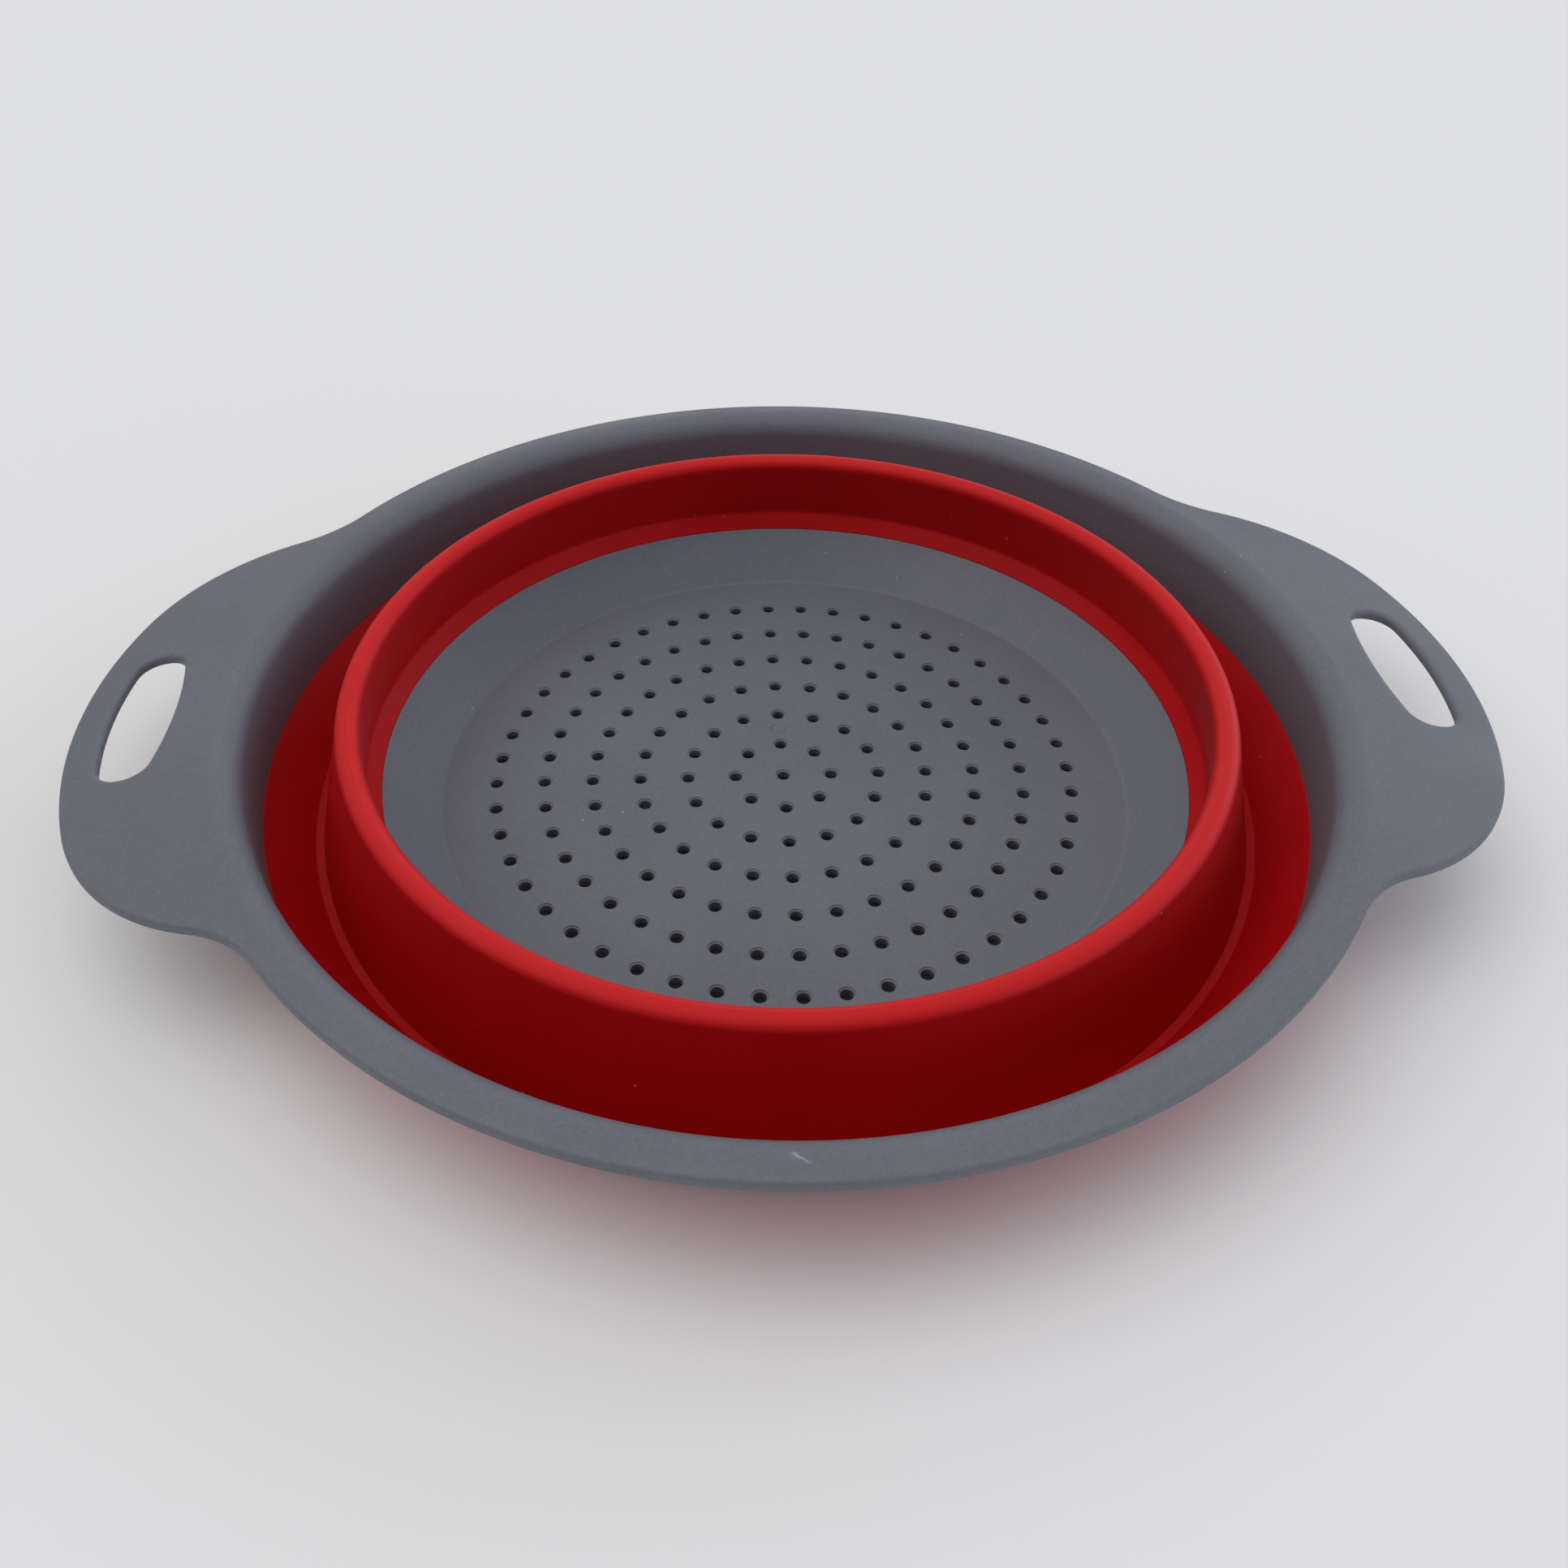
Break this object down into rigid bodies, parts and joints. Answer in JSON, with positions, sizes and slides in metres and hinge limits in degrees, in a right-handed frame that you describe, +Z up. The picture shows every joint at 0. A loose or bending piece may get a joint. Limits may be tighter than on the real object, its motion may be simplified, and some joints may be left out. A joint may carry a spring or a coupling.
{
  "type": "folding colander",
  "caption": "Folding colander: a flexible red wall between a grey handled rim and a grey perforated base folds flat and lifts out into a bowl.",
  "frame": {"origin": "on the bowl's axis, at the height of the surface that the feet stand on", "axes": "+X through the handles, +Y across them, +Z up along the bowl's axis"},
  "size_m": [0.2908, 0.2384, 0.0333],
  "materials": {
    "grey_plastic": "fine matt texture",
    "red_wall": "satin"
  },
  "bodies": {
    "base": {"strainer_base": "grey_plastic", "wall_base_collar": "red_wall", "wall_inner_band": "red_wall", "wall_crest_bead": "red_wall"},
    "fold": {"wall_fold_band": "red_wall"},
    "rim": {"rim_skirt": "grey_plastic", "left_handle": "grey_plastic", "right_handle": "grey_plastic", "front_flange": "grey_plastic", "back_flange": "grey_plastic", "wall_outer_collar": "red_wall", "wall_crease_ring": "red_wall"}
  },
  "joints": [
    {"name": "unfold", "type": "slide", "parent": "base", "child": "rim", "axis": [0, 0, 1], "range_m": [0, 0.0528]},
    {"name": "fold_follow", "type": "slide", "parent": "base", "child": "fold", "axis": [0, 0, 1], "range_m": [0, 0.0264]}
  ],
  "couplings": [
    {"joint": "fold_follow", "follows": "unfold", "ratio": 0.5}
  ]
}
